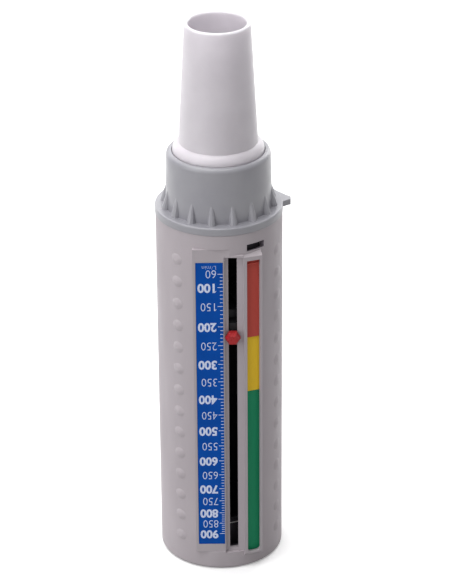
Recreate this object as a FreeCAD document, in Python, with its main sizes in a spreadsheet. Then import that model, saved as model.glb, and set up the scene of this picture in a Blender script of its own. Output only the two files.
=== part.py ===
"""A hand-held peak flow meter: slotted barrel with a pointer and zone strips, twist collar, mouthpiece.

Millimetres. +Z points up to the mouthpiece, the scale faces -Y, and the origin is the centre of the base.
An azimuth is measured from -Y towards +X. The inner pieces are a piston on a guide rod with a tension spring.
"""
import FreeCAD, Part
import math
import os
import re
import Sketcher

DIMENSIONS = [
    ("body_radius", 23.0, "outside of the barrel"),
    ("body_height", 139.1, "top face of the barrel"),
    ("body_wall", 2.7, "barrel wall"),
    ("bottom_round", 1.3, "rounding of the bottom edge"),
    ("shoulder_thickness", 2.2, "plate that closes the barrel under its neck"),
    ("neck_height", 13.4, "neck above the barrel's top face"),
    ("neck_wall", 0.9, "neck wall round the rod spider"),
    ("seat_width", 1.0, "ledge that the rod spider stands on"),
    ("seat_depth", 6.0, "depth of the rod spider's seat"),
    ("seal_height", 3.7, "middle of the seal groove above the barrel"),
    ("seal_width", 1.0, "collar seal, across its ring"),
    ("seal_thickness", 1.0, "height of the collar seal"),
    ("seal_chamfer", 0.2, "chamfer of the collar seal"),
    ("seal_seat_gap", 0.05, "seal to the floor of its groove"),
    ("seal_gap", 0.1, "seal to the bore of the collar"),
    ("seal_groove_half", 0.8, "half the width of the seal groove"),
    ("bayonet_count", 3, "bayonet lugs round the neck"),
    ("bayonet_height", 8.9, "middle of the bayonet lugs above the barrel"),
    ("bayonet_half", 1.0, "half the height of a bayonet lug"),
    ("bayonet_reach", 1.1, "how far a bayonet lug stands out of the neck"),
    ("bayonet_sector", 14.0, "angle that a bayonet lug covers"),
    ("bayonet_azimuth", 30.0, "where the first bayonet lug stands"),
    ("bayonet_gap", 0.2, "clearance round a bayonet lug"),
    ("bayonet_slack", 1.0, "angle left free at each side of a bayonet lug"),
    ("twist_angle", 20.0, "how far the collar turns to unlock"),
    ("bump_radius", 2.2, "footprint of a grip bump"),
    ("bump_height", 0.5, "how far a grip bump stands out"),
    ("bump_count", 14, "bumps in a row"),
    ("left_row_azimuth", -41.4, "azimuth of the left row of bumps"),
    ("left_row_bottom", 11.9, "lowest bump of the left row"),
    ("right_row_azimuth", 65.0, "azimuth of the right row of bumps"),
    ("right_row_bottom", 10.9, "lowest bump of the right row"),
    ("row_top_margin", 11.6, "highest bump below the barrel's top"),
    ("pad_sink", 0.4, "how far the flat scale pad lies behind the barrel's crest"),
    ("pad_left", 9.6, "left edge of the scale pad"),
    ("pad_right", 8.6, "right edge of the scale pad and of the pointer channel"),
    ("pad_bottom", 7.4, "lower edge of the scale pad"),
    ("pad_top_margin", 5.4, "upper edge of the scale pad below the barrel's top"),
    ("pad_step", 3.6, "where the pad's upper edge steps down, right of its middle"),
    ("label_left", 8.5, "left edge of the scale label"),
    ("label_right", 1.25, "right edge of the scale label"),
    ("label_bottom", 10.9, "lower edge of the scale label"),
    ("label_top_margin", 5.2, "upper edge of the scale label below the pad's top"),
    ("label_thickness", 0.3, "scale label"),
    ("label_gap", 0.1, "clearance round the label in its recess"),
    ("channel_bottom", 6.9, "lower edge of the pointer channel"),
    ("channel_depth", 1.4, "pointer channel below the scale pad"),
    ("slot_centre", 4.7, "middle of the pointer slot"),
    ("slot_width", 3.1, "pointer slot"),
    ("slot_bottom", 8.3, "lower end of the pointer slot"),
    ("slot_top_margin", 4.0, "upper end of the pointer slot below the pad's top"),
    ("channel_end_gap", 0.8, "channel past the slot's upper end"),
    ("channel_end_wall", 0.7, "pad above the upper end of the channel"),
    ("rail_azimuth", 19.0, "way the face of the zone rail points"),
    ("rail_height", 1.1, "rail face outside the barrel's crest"),
    ("rail_left", 0.9, "left edge of the rail, along its face"),
    ("rail_right", 8.05, "right edge of the rail, along its face"),
    ("rail_bottom", 4.8, "lower end of the rail"),
    ("rail_top_margin", 8.8, "upper edge of the rail's face below the barrel's top"),
    ("rail_slope", 1.4, "height of the rail's sloped lower end"),
    ("rail_top_rise", 0.5, "rise of the rail's sloped top, as a share of its depth"),
    ("view_left", 2.15, "left edge of the strip opening, along the rail face"),
    ("view_right", 7.1, "right edge of the strip opening, along the rail face"),
    ("view_bottom", 6.7, "lower end of the strip opening"),
    ("view_top_margin", 1.55, "upper end of the strip opening below the rail's top"),
    ("view_corner", 1.6, "corner radius at the lower end of the strip opening"),
    ("lip_thickness", 1.15, "rail lips that hold the zone strips"),
    ("lip_left", 0.5, "how far the left lip overlaps the strips' groove"),
    ("lip_right", 0.45, "how far the right lip overlaps the strips' groove"),
    ("groove_end", 0.5, "strips' groove past the lower end of the opening"),
    ("groove_top_margin", 0.4, "strips' groove below the rail's upper end"),
    ("strip_thickness", 0.4, "each of the three zone strips"),
    ("strip_gap", 0.05, "clearance between the zone strips"),
    ("strip_side_gap", 0.1, "clearance at the edges and ends of the zone strips"),
    ("yellow_edge", 75.1, "lower edge of the yellow strip"),
    ("red_edge", 97.5, "lower edge of the red strip"),
    ("window_azimuth", 34.65, "azimuth of the window above the rail"),
    ("window_width", 7.4, "window above the rail"),
    ("window_height", 2.65, "window above the rail"),
    ("window_lift", 1.7, "window above the rail's top"),
    ("window_skin", 0.9, "barrel wall in front of the relief behind the window"),
    ("window_relief", 1.0, "relief behind the window, below its lower edge"),
    ("liner_gap", 0.1, "clearance round the measuring tube"),
    ("liner_wall", 1.0, "measuring tube"),
    ("plug_gap", 0.1, "clearance round the base plug"),
    ("plug_floor", 2.2, "floor of the base plug"),
    ("plug_skirt", 1.2, "skirt of the base plug"),
    ("plug_skirt_height", 7.0, "top of the plug's skirt, where the measuring tube stands"),
    ("bead_height", 3.8, "middle of the plug's snap bead"),
    ("bead_reach", 0.3, "how far the snap bead stands out"),
    ("bead_half", 0.5, "half the height of the snap bead"),
    ("cup_radius", 15.0, "buffer cup of the base plug"),
    ("cup_wall", 1.2, "wall of the buffer cup"),
    ("cup_top", 16.4, "rim of the buffer cup"),
    ("buffer_height", 0.9, "bottom buffer ring on the rim of its cup"),
    ("buffer_chamfer", 0.25, "chamfer of the bottom buffer ring"),
    ("boss_radius", 3.8, "rod boss of the base plug"),
    ("boss_top", 13.0, "top of the rod boss"),
    ("boss_draft", 0.4, "how much narrower the rod boss is at its top"),
    ("vent_count", 8, "air vents in the base"),
    ("vent_inner", 6.5, "where a vent starts"),
    ("vent_outer", 12.3, "where a vent ends"),
    ("vent_width", 2.2, "air vent"),
    ("rod_radius", 1.5, "guide rod"),
    ("rod_foot", 3.0, "lower end of the guide rod"),
    ("rod_stand", 1.6, "rod above the spider's hub"),
    ("rod_chamfer", 0.3, "chamfer of the rod's ends"),
    ("fit_gap", 0.02, "clearance of a piece that sits tight on the rod"),
    ("spider_gap", 0.05, "clearance round the rod spider"),
    ("spider_rim", 1.5, "rim of the rod spider"),
    ("spoke_width", 1.6, "spoke of the rod spider"),
    ("spoke_count", 4, "spokes of the rod spider"),
    ("spoke_height", 2.6, "spoke of the rod spider"),
    ("hub_radius", 3.3, "hub of the rod spider"),
    ("hub_top_margin", 1.0, "hub's top below the neck's top"),
    ("clip_thickness", 0.6, "retaining clip"),
    ("clip_radius", 2.9, "retaining clip"),
    ("clip_groove", 0.35, "depth of the clip's groove in the rod"),
    ("clip_gap", 0.05, "clearance of the clip in its groove"),
    ("clip_mouth", 0.8, "half the clip's mouth, as a share of its inner radius"),
    ("anchor_height", 3.6, "spring anchor"),
    ("anchor_radius", 3.4, "spring anchor"),
    ("anchor_gap", 0.1, "spring anchor below the rod spider"),
    ("sleeve_length", 4.4, "top buffer sleeve"),
    ("sleeve_wall", 0.5, "top buffer sleeve"),
    ("wire_radius", 0.2, "spring wire"),
    ("coil_radius", 2.75, "mean radius of the spring's coils"),
    ("coil_turns", 6, "turns of the spring"),
    ("coil_end_gap", 0.1, "spring to the pieces at its ends"),
    ("reading_height", 98.4, "pointer at rest, at a reading of about 225"),
    ("piston_gap", 0.3, "piston inside the measuring tube"),
    ("piston_plate", 1.2, "piston plate"),
    ("piston_rim", 1.0, "rim of the piston"),
    ("piston_rim_height", 3.0, "rim of the piston from its underside"),
    ("piston_rib_width", 1.0, "rib of the piston"),
    ("piston_rib_count", 6, "ribs of the piston"),
    ("piston_rib_end", 0.8, "rib above the piston plate at the rim"),
    ("piston_rib_drop", 0.6, "rib below the top of the piston's hub"),
    ("piston_hub_wall", 1.3, "hub of the piston round its bush"),
    ("piston_hub_top", 5.0, "top of the piston's hub above its underside"),
    ("piston_hub_drop", 1.0, "how far the piston's hub reaches below it"),
    ("bush_wall", 0.75, "piston bush"),
    ("bush_gap", 0.05, "running clearance of the bush on the rod"),
    ("bush_flange", 0.9, "how far the bush's flange stands out"),
    ("bush_flange_height", 0.6, "flange of the piston bush"),
    ("knob_radius", 2.85, "corner radius of the six-sided pointer"),
    ("knob_gap", 0.2, "pointer to the left side of its channel"),
    ("knob_side", 1.35, "straight side of the pointer"),
    ("knob_crown", 1.7, "faceted front of the pointer"),
    ("knob_face_radius", 1.85, "corner radius of the pointer's front face"),
    ("knob_socket", 1.3, "depth of the stem's socket in the pointer"),
    ("friction_pad", 0.45, "friction pad behind the pointer"),
    ("friction_pad_gap", 0.1, "friction pad to the floor of the channel"),
    ("pad_inset", 0.25, "friction pad inside the pointer's outline"),
    ("runner_side_gap", 0.3, "runner to the sides of the slot"),
    ("runner_below", 2.5, "runner below the pointer's middle"),
    ("runner_above", 6.0, "runner's foot above the pointer's middle"),
    ("blade_above", 5.2, "runner's blade in the slot, above the pointer's middle"),
    ("stem_half", 1.2, "half the height of the runner's stem"),
    ("stem_gap", 0.05, "clearance round the stem"),
    ("runner_foot", 1.0, "thickness of the runner's foot inside the tube"),
    ("runner_foot_width", 4.8, "width of the runner's foot inside the tube"),
    ("runner_foot_gap", 0.35, "runner's foot to the inside of the measuring tube"),
    ("pusher_gap", 0.3, "piston above the runner"),
    ("seam", 0.1, "seam between the barrel and the collar"),
    ("flange_overhang", 0.15, "collar flange outside the barrel"),
    ("flange_height", 2.2, "side of the collar flange"),
    ("flange_round", 0.6, "rounding of the flange's upper edge"),
    ("ledge_dip", 0.2, "fall of the ledge from there to the wall's foot"),
    ("collar_gap", 0.3, "collar round the neck"),
    ("collar_wall", 1.7, "collar wall round the neck"),
    ("collar_draft", 0.4, "how much wider the collar wall is at its foot"),
    ("rim_width", 2.0, "rim of the collar round the mouthpiece"),
    ("rim_round", 1.7, "rounding of the rim's outer edge"),
    ("rim_step", 1.5, "depth of the mouthpiece's recess in the rim"),
    ("collar_height", 23.8, "collar from the barrel to its rim"),
    ("neck_headroom", 0.7, "collar lip above the neck"),
    ("lip_height", 1.0, "collar lip that the mouthpiece stands on"),
    ("lip_width", 1.5, "collar lip that the mouthpiece stands on"),
    ("buttress_count", 16, "buttresses round the collar"),
    ("buttress_azimuth", -7.6, "azimuth of one buttress"),
    ("buttress_top", 9.6, "tip of a buttress above the barrel"),
    ("buttress_width", 3.4, "buttress at its foot"),
    ("buttress_tip", 1.5, "buttress at its tip"),
    ("buttress_reach", 2.5, "buttress outside the collar wall at its foot"),
    ("buttress_tip_reach", 0.3, "buttress outside the collar wall at its tip"),
    ("buttress_sink", 0.8, "foot of a buttress inside the flange"),
    ("tab_reach", 3.0, "thumb tab outside the barrel"),
    ("tab_front", 1.9, "front corner of the thumb tab, behind the collar's middle"),
    ("tab_back", 4.9, "back corner of the thumb tab, behind the collar's middle"),
    ("tab_start_azimuth", 89.0, "where the tab leaves the flange in front"),
    ("tab_end_azimuth", 126.0, "where the tab meets the flange behind"),
    ("tab_thickness", 2.1, "thumb tab"),
    ("tab_lift", 0.5, "thumb tab above the underside of the flange"),
    ("tab_corner", 0.6, "rounded corners of the thumb tab"),
    ("serration_count", 3, "serrations in the tab's end"),
    ("serration_depth", 0.3, "serration"),
    ("serration_land", 0.45, "flat between two serrations, as a share of their pitch"),
    ("spigot_radius", 15.85, "mouthpiece spigot"),
    ("spigot_wall", 1.4, "mouthpiece spigot"),
    ("spigot_gap", 0.1, "mouthpiece spigot in the collar"),
    ("mouth_flange", 0.7, "mouthpiece flange outside its spigot"),
    ("mouth_flange_height", 1.5, "side of the mouthpiece flange"),
    ("mouth_flange_gap", 0.1, "mouthpiece flange above its recess"),
    ("flange_clearance", 0.25, "mouthpiece flange inside the collar's rim"),
    ("shoulder_rise", 3.4, "height of the round shoulder under the cone"),
    ("shoulder_radius", 3.7, "curve of the shoulder"),
    ("cone_foot_radius", 14.25, "mouthpiece cone at its foot"),
    ("cone_top_radius", 11.8, "mouthpiece cone at its lip"),
    ("cone_wall", 1.5, "mouthpiece wall"),
    ("lip_roll", 0.75, "section radius of the rolled lip"),
    ("mouthpiece_height", 47.4, "rolled lip's middle above the collar's rim"),
]
ALIASES = {name for name, value, note in DIMENSIONS}

# Radii and heights that follow from the driving dimensions, as formulas.
BORE = "(body_radius - body_wall)"
LINER_OUTER = f"({BORE} - liner_gap)"
LINER_INNER = f"({LINER_OUTER} - liner_wall)"
PAD_FACE = "(body_radius - pad_sink)"
PAD_TOP = "(body_height - pad_top_margin)"
LABEL_TOP = f"({PAD_TOP} - label_top_margin)"
SLOT_TOP = f"({PAD_TOP} - slot_top_margin)"
CHANNEL_FLOOR = f"({PAD_FACE} - channel_depth)"
CHANNEL_LEFT = "(slot_centre - knob_radius - knob_gap)"
CHANNEL_TOP = f"({SLOT_TOP} + channel_end_gap)"
RAIL_FACE = "(body_radius + rail_height)"
RAIL_TOP = "(body_height - rail_top_margin)"
STRIP_CEILING = f"({RAIL_FACE} - lip_thickness)"
STRIP_FLOOR = f"({STRIP_CEILING} - 3 * strip_thickness - 4 * strip_gap)"
GROOVE_LEFT = "(view_left - lip_left)"
GROOVE_RIGHT = "(view_right + lip_right)"
GROOVE_BOTTOM = "(view_bottom - groove_end)"
GROOVE_TOP = f"({RAIL_TOP} - groove_top_margin)"
MOUTH_FLANGE = "(spigot_radius + mouth_flange)"
RIM_INNER = f"({MOUTH_FLANGE} + flange_clearance)"
COLLAR_OUTER = f"({RIM_INNER} + rim_width)"
COLLAR_BORE = f"({COLLAR_OUTER} - collar_wall)"
NECK_RADIUS = f"({COLLAR_BORE} - collar_gap)"
NECK_TOP = "(body_height + neck_height)"
SEAT_RADIUS = f"({NECK_RADIUS} - neck_wall)"
NECK_BORE = f"({SEAT_RADIUS} - seat_width)"
SEAT_FLOOR = f"({NECK_TOP} - seat_depth)"
SEAL_MIDDLE = "(body_height + seal_height)"
SEAL_OUTER = f"({COLLAR_BORE} - seal_gap)"
SEAL_INNER = f"({SEAL_OUTER} - seal_width)"
SEAL_FLOOR = f"({SEAL_INNER} - seal_seat_gap)"
BAYONET_MIDDLE = "(body_height + bayonet_height)"
BASE_OF_COLLAR = "(body_height + seam)"
LIP_BOTTOM = f"({NECK_TOP} + neck_headroom)"
LIP_TOP = f"({LIP_BOTTOM} + lip_height)"
RIM_TOP = "(body_height + collar_height)"
RIM_FLOOR = f"({RIM_TOP} - rim_step)"
HUB_TOP = f"({NECK_TOP} - hub_top_margin)"
ANCHOR_TOP = f"({SEAT_FLOOR} - anchor_gap)"
ANCHOR_BOTTOM = f"({ANCHOR_TOP} - anchor_height)"
PISTON_BOTTOM = "(reading_height + runner_above + pusher_gap)"
PISTON_RADIUS = f"({LINER_INNER} - piston_gap)"
BUSH_OUTER = "(rod_radius + bush_gap + bush_wall)"
BUSH_TOP = f"({PISTON_BOTTOM} + piston_hub_top + bush_flange_height)"
FRICTION_BACK = f"({CHANNEL_FLOOR} + friction_pad_gap)"
KNOB_BACK = f"({FRICTION_BACK} + friction_pad)"
SLOT_LEFT = "(slot_centre - slot_width / 2)"
SLOT_RIGHT = "(slot_centre + slot_width / 2)"
CUP_INNER = "(cup_radius - cup_wall)"

# A cut starts this far outside what it cuts, and a joined form this far inside what it joins.
PAST = "1"

# Where the flats of a buttress's rounded nose meet, in degrees from its middle.
NOSE_ANGLES = range(-90, 91, 36)

# The points of a line or an arc that a sketch's constraint can hold, each numbered by its place here.
POINTS = ["edge", "start", "end", "centre"]

doc = FreeCAD.newDocument("PeakFlowMeter")
sheet = doc.addObject("Spreadsheet::Sheet", "Dimensions")
for row, (name, value, note) in enumerate(DIMENSIONS, start=1):
    sheet.set(f"A{row}", name)
    sheet.set(f"B{row}", str(value))
    sheet.set(f"C{row}", note)
    sheet.setAlias(f"B{row}", name)
doc.recompute()


def formula(text):
    """The same formula with the sheet's name put before each dimension."""
    return re.sub(r"[a-z_]+", lambda word: "Dimensions." + word[0] if word[0] in ALIASES else word[0], text)


def number(text):
    """What a formula comes to now."""
    return float(sheet.evalExpression(formula(text)))


def bind(thing, prop, text):
    thing.setExpression(prop, formula(text))


def new_body(name):
    body = doc.addObject("PartDesign::Body", name)
    body.Label = name
    return body


def origin_part(body, role):
    """A plane or axis of the body's own origin."""
    return [part for part in body.Origin.OriginFeatures if part.Role == role][0]


def attach(item, body, plane, lift="0", turn="0", raise_by="0"):
    """Lay a sketch or primitive on an origin plane.

    lift moves it along the plane's normal, turn swings it about Z, and raise_by moves an upright one up.
    """
    item.AttachmentSupport = [(origin_part(body, plane + "_Plane"), "")]
    item.MapMode = "FlatFace"
    axis = FreeCAD.Vector(0, 0, 1) if plane == "XY" else FreeCAD.Vector(0, 1, 0)
    item.AttachmentOffset = FreeCAD.Placement(FreeCAD.Vector(), FreeCAD.Rotation(axis, 1))
    bind(item, "AttachmentOffset.Rotation.Angle", turn)
    if plane == "XY":
        bind(item, "AttachmentOffset.Base.z", lift)
        return
    bind(item, "AttachmentOffset.Base.x", f"({lift}) * sin({turn})")
    bind(item, "AttachmentOffset.Base.y", raise_by)
    bind(item, "AttachmentOffset.Base.z", f"({lift}) * cos({turn})")


def arc_through(start, end, radius, leftward):
    """Arc from start to end whose centre lies on the left of the way there, or on the right."""
    chord = end - start
    half = chord.Length / 2
    side = 1 if leftward else -1
    across = FreeCAD.Vector(-chord.y, chord.x, 0).normalize() * side
    centre = start + chord * 0.5 + across * math.sqrt(max(radius ** 2 - half ** 2, 0))
    first, last = (start, end) if leftward else (end, start)
    angles = [math.atan2(point.y - centre.y, point.x - centre.x) for point in (first, last)]
    circle = Part.Circle(centre, FreeCAD.Vector(0, 0, 1), radius)
    return Part.ArcOfCircle(circle, angles[0], angles[1])


def pin(sketch, direction, item, point, text):
    """Hold a point of an item at a distance from the sketch's origin, along X or Y."""
    held = Sketcher.Constraint("Distance" + direction, -1, POINTS.index("start"), item, POINTS.index(point),
                               number(text))
    bind(sketch, f"Constraints[{sketch.addConstraint(held)}]", text)


def hold_radius(sketch, item, text):
    held = Sketcher.Constraint("Radius", item, number(text))
    bind(sketch, f"Constraints[{sketch.addConstraint(held)}]", text)


def outline(body, name, plane, corners, **where):
    """Closed sketch whose corners are pairs of formulas.

    A corner with two more items starts an arc: its radius, or "half" for a half circle, and left or right for
    the side of its centre.
    """
    sketch = body.newObject("Sketcher::SketchObject", name)
    attach(sketch, body, plane, **where)
    places = [FreeCAD.Vector(number(corner[0]), number(corner[1]), 0) for corner in corners]
    ends = []
    for index, corner in enumerate(corners):
        start, end = places[index], places[(index + 1) % len(corners)]
        if len(corner) == 2:
            sketch.addGeometry(Part.LineSegment(start, end), False)
            ends.append(("start", "end"))
        else:
            leftward = corner[3] == "left"
            radius = (end - start).Length / 2 if corner[2] == "half" else number(corner[2])
            sketch.addGeometry(arc_through(start, end, radius, leftward), False)
            ends.append(("start", "end") if leftward else ("end", "start"))
    for index in range(len(corners)):
        after = (index + 1) % len(corners)
        last, first = POINTS.index(ends[index][1]), POINTS.index(ends[after][0])
        sketch.addConstraint(Sketcher.Constraint("Coincident", index, last, after, first))
    for index, corner in enumerate(corners):
        pin(sketch, "X", index, ends[index][0], corner[0])
        pin(sketch, "Y", index, ends[index][0], corner[1])
        if len(corner) == 2:
            continue
        chord = places[(index + 1) % len(corners)] - places[index]
        if corner[2] != "half":
            hold_radius(sketch, index, corner[2])
        elif abs(chord.x) < abs(chord.y):
            pin(sketch, "X", index, "centre", corner[0])
        else:
            pin(sketch, "Y", index, "centre", corner[1])
    return sketch


def rectangle(body, name, plane, left, right, bottom, top, **where):
    return outline(body, name, plane, [(left, bottom), (right, bottom), (right, top), (left, top)], **where)


def turned(body, name, sketch, cut=False):
    """A solid of revolution about Z, added or cut away."""
    feature = body.newObject("PartDesign::Groove" if cut else "PartDesign::Revolution", name)
    feature.Profile = sketch
    feature.ReferenceAxis = (sketch, ["V_Axis"])
    feature.Angle = 360
    return feature


def extruded(body, name, sketch, length, cut=False, away=False, both=False):
    """A pad, or a pocket when cut. A pocket runs against the plane's normal, or with away along it."""
    feature = body.newObject("PartDesign::Pocket" if cut else "PartDesign::Pad", name)
    feature.Profile = sketch
    feature.Reversed = away
    if both:
        feature.SideType = "Symmetric"
    bind(feature, "Length", length)
    return feature


def round_pattern(body, name, features, count):
    pattern = body.newObject("PartDesign::PolarPattern", name)
    pattern.Originals = features
    pattern.Axis = (origin_part(body, "Z_Axis"), [""])
    pattern.Angle = 360
    bind(pattern, "Occurrences", count)
    body.Tip = pattern
    return pattern


def row_pattern(body, name, features, axis, length, count):
    pattern = body.newObject("PartDesign::LinearPattern", name)
    pattern.Originals = features
    pattern.Direction = (origin_part(body, axis), [""])
    bind(pattern, "Length", length)
    bind(pattern, "Occurrences", count)
    body.Tip = pattern
    return pattern


def make_barrel():
    body = new_body("barrel")
    shell = outline(body, "BarrelProfile", "XZ", [
        ("0", "0"),
        ("body_radius - bottom_round", "0", "bottom_round", "left"),
        ("body_radius", "bottom_round"),
        ("body_radius", "body_height"),
        (NECK_RADIUS, "body_height"),
        (NECK_RADIUS, f"{SEAL_MIDDLE} - seal_groove_half"),
        (SEAL_FLOOR, f"{SEAL_MIDDLE} - seal_groove_half"),
        (SEAL_FLOOR, f"{SEAL_MIDDLE} + seal_groove_half"),
        (NECK_RADIUS, f"{SEAL_MIDDLE} + seal_groove_half"),
        (NECK_RADIUS, NECK_TOP),
        ("0", NECK_TOP),
    ])
    turned(body, "BarrelForm", shell)
    grip_row(body, "Left", "left_row_azimuth", "left_row_bottom")
    grip_row(body, "Right", "right_row_azimuth", "right_row_bottom")
    scale_pad(body)
    zone_rail(body)
    bayonet_lugs(body)
    hollow = outline(body, "HollowProfile", "XZ", [
        ("0", f"-{PAST}"),
        (BORE, f"-{PAST}"),
        (BORE, "bead_height - bead_half"),
        (f"{BORE} + bead_reach", "bead_height"),
        (BORE, "bead_height + bead_half"),
        (BORE, "body_height - shoulder_thickness"),
        (NECK_BORE, "body_height - shoulder_thickness"),
        (NECK_BORE, SEAT_FLOOR),
        (SEAT_RADIUS, SEAT_FLOOR),
        (SEAT_RADIUS, f"{NECK_TOP} + {PAST}"),
        ("0", f"{NECK_TOP} + {PAST}"),
    ])
    turned(body, "Hollow", hollow, cut=True)
    scale_cuts(body)
    rail_cuts(body)
    return body


def grip_row(body, side, azimuth, bottom):
    """A row of low domes, each the cap of a ball that lies mostly inside the wall."""
    ball_radius = "((bump_radius ^ 2 + bump_height ^ 2) / (2 * bump_height))"
    ball = body.newObject("PartDesign::AdditiveSphere", side + "Bump")
    bind(ball, "Radius", ball_radius)
    attach(ball, body, "XZ", f"body_radius + bump_height - {ball_radius}", azimuth, bottom)
    span = f"body_height - row_top_margin - {bottom}"
    row_pattern(body, side + "Bumps", [ball], "Z_Axis", span, "bump_count")


def scale_pad(body):
    """The flat pad stands proud of the barrel at its edges and cuts off the barrel's crest between them."""
    corners = [
        ("-pad_left", "pad_bottom"),
        ("pad_right", "pad_bottom"),
        ("pad_right", f"{CHANNEL_TOP} + channel_end_wall"),
        ("pad_step", f"{CHANNEL_TOP} + channel_end_wall"),
        ("pad_step", PAD_TOP),
        ("-pad_left", PAD_TOP),
    ]
    front = outline(body, "ScalePadOutline", "XZ", corners, lift=BORE)
    extruded(body, "ScalePad", front, f"{PAD_FACE} - {BORE}")
    crest = outline(body, "CrestOutline", "XZ", corners, lift=PAD_FACE)
    extruded(body, "CrestCut", crest, f"pad_sink + {PAST}", cut=True, away=True)


def zone_rail(body):
    """The rail for the zone strips, with sloped ends."""
    side = outline(body, "RailProfile", "YZ", [
        (f"-{BORE}", "rail_bottom"),
        ("-body_radius", "rail_bottom"),
        (f"-{RAIL_FACE}", "rail_bottom + rail_slope"),
        (f"-{RAIL_FACE}", RAIL_TOP),
        (f"-{BORE}", f"{RAIL_TOP} + rail_top_rise * ({RAIL_FACE} - {BORE})"),
    ], lift="rail_left", turn="rail_azimuth")
    extruded(body, "Rail", side, "rail_right - rail_left")


def bayonet_lugs(body):
    """The lugs on the neck that lock the collar."""
    plan = sector(body, "LugPlan", f"{NECK_RADIUS} - neck_wall / 2", f"{NECK_RADIUS} + bayonet_reach",
                  "bayonet_azimuth - bayonet_sector / 2", "bayonet_azimuth + bayonet_sector / 2",
                  lift=f"{BAYONET_MIDDLE} - bayonet_half")
    lug = extruded(body, "Lug", plan, "2 * bayonet_half")
    round_pattern(body, "Lugs", [lug], "bayonet_count")


def sector(body, name, inner, outer, first, last, **where):
    """Plan of a piece of a ring between two angles from +X towards +Y."""
    corners = [
        (f"({inner}) * cos({first})", f"({inner}) * sin({first})"),
        (f"({outer}) * cos({first})", f"({outer}) * sin({first})", f"({outer})", "left"),
        (f"({outer}) * cos({last})", f"({outer}) * sin({last})"),
        (f"({inner}) * cos({last})", f"({inner}) * sin({last})", f"({inner})", "right"),
    ]
    return outline(body, name, "XY", corners, **where)


def scale_cuts(body):
    """Label recess, pointer channel and the slot through the wall."""
    recess = rectangle(body, "LabelRecessOutline", "XZ", "-label_left - label_gap", "label_right + label_gap",
                       "label_bottom - label_gap", f"{LABEL_TOP} + label_gap", lift=PAD_FACE)
    extruded(body, "LabelRecess", recess, "label_thickness", cut=True)
    channel = rectangle(body, "ChannelOutline", "XZ", CHANNEL_LEFT, "pad_right", "channel_bottom",
                        CHANNEL_TOP, lift=CHANNEL_FLOOR)
    extruded(body, "Channel", channel, "channel_depth + rail_height", cut=True, away=True)
    slot = rectangle(body, "SlotOutline", "XZ", SLOT_LEFT, SLOT_RIGHT, "slot_bottom", SLOT_TOP,
                     lift=f"{LINER_INNER} - body_wall")
    extruded(body, "Slot", slot, "3 * body_wall", cut=True, away=True)


def rail_cuts(body):
    """Groove for the strips, the opening that shows them, and the window above the rail with its relief."""
    groove = rectangle(body, "GrooveOutline", "XZ", GROOVE_LEFT, GROOVE_RIGHT, GROOVE_BOTTOM, GROOVE_TOP,
                       lift=STRIP_FLOOR, turn="rail_azimuth")
    extruded(body, "StripGroove", groove, f"{STRIP_CEILING} - {STRIP_FLOOR}", cut=True, away=True)
    view_top = f"{RAIL_TOP} - view_top_margin"
    view = outline(body, "ViewOutline", "XZ", [
        ("view_left + view_corner", "view_bottom"),
        ("view_right - view_corner", "view_bottom", "view_corner", "left"),
        ("view_right", "view_bottom + view_corner"),
        ("view_right", view_top),
        ("view_left", view_top),
        ("view_left", "view_bottom + view_corner", "view_corner", "left"),
    ], lift=STRIP_FLOOR, turn="rail_azimuth")
    extruded(body, "StripView", view, f"{RAIL_FACE} - {STRIP_FLOOR} + {PAST}", cut=True, away=True)
    foot = f"{RAIL_TOP} + window_lift"
    start = f"({BORE} - body_wall)"
    window = rectangle(body, "WindowOutline", "XZ", "-window_width / 2", "window_width / 2", foot,
                       f"{foot} + window_height", lift=start, turn="window_azimuth")
    extruded(body, "Window", window, "3 * body_wall", cut=True, away=True)
    relief = rectangle(body, "ReliefOutline", "XZ", "-window_width / 2", "window_width / 2",
                       f"{foot} - window_relief", f"{foot} + window_height", lift=start, turn="window_azimuth")
    extruded(body, "WindowRelief", relief, f"body_radius - window_skin - {start}", cut=True, away=True)


def make_measuring_tube():
    body = new_body("measuring_tube")
    profile = rectangle(body, "TubeProfile", "XZ", LINER_INNER, LINER_OUTER, "plug_skirt_height",
                        "body_height - shoulder_thickness - liner_gap")
    turned(body, "Tube", profile)
    slot = rectangle(body, "TubeSlotOutline", "XZ", SLOT_LEFT, SLOT_RIGHT, "slot_bottom", SLOT_TOP,
                     lift=f"{LINER_INNER} - body_wall")
    extruded(body, "TubeSlot", slot, "2 * body_wall", cut=True, away=True)
    return body


def make_scale_label():
    body = new_body("scale_label")
    face = rectangle(body, "LabelOutline", "XZ", "-label_left", "label_right", "label_bottom", LABEL_TOP,
                     lift=f"{PAD_FACE} - label_thickness")
    extruded(body, "Label", face, "label_thickness")
    return body


def make_zone_strip(name, layer, bottom):
    """A flat strip in the rail; layer 0 lies deepest. It is drawn facing -Y and turned to the rail."""
    body = new_body(name)
    left = f"{GROOVE_LEFT} + strip_side_gap"
    right = f"{GROOVE_RIGHT} - strip_side_gap"
    face = rectangle(body, "StripOutline", "XZ", left, right, bottom, f"{GROOVE_TOP} - strip_side_gap",
                     lift=f"{STRIP_FLOOR} + strip_gap + {layer} * (strip_thickness + strip_gap)")
    extruded(body, "Strip", face, "strip_thickness")
    body.Placement = FreeCAD.Placement(FreeCAD.Vector(), FreeCAD.Rotation(FreeCAD.Vector(0, 0, 1), 1))
    bind(body, "Placement.Rotation.Angle", "rail_azimuth")
    return body


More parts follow.
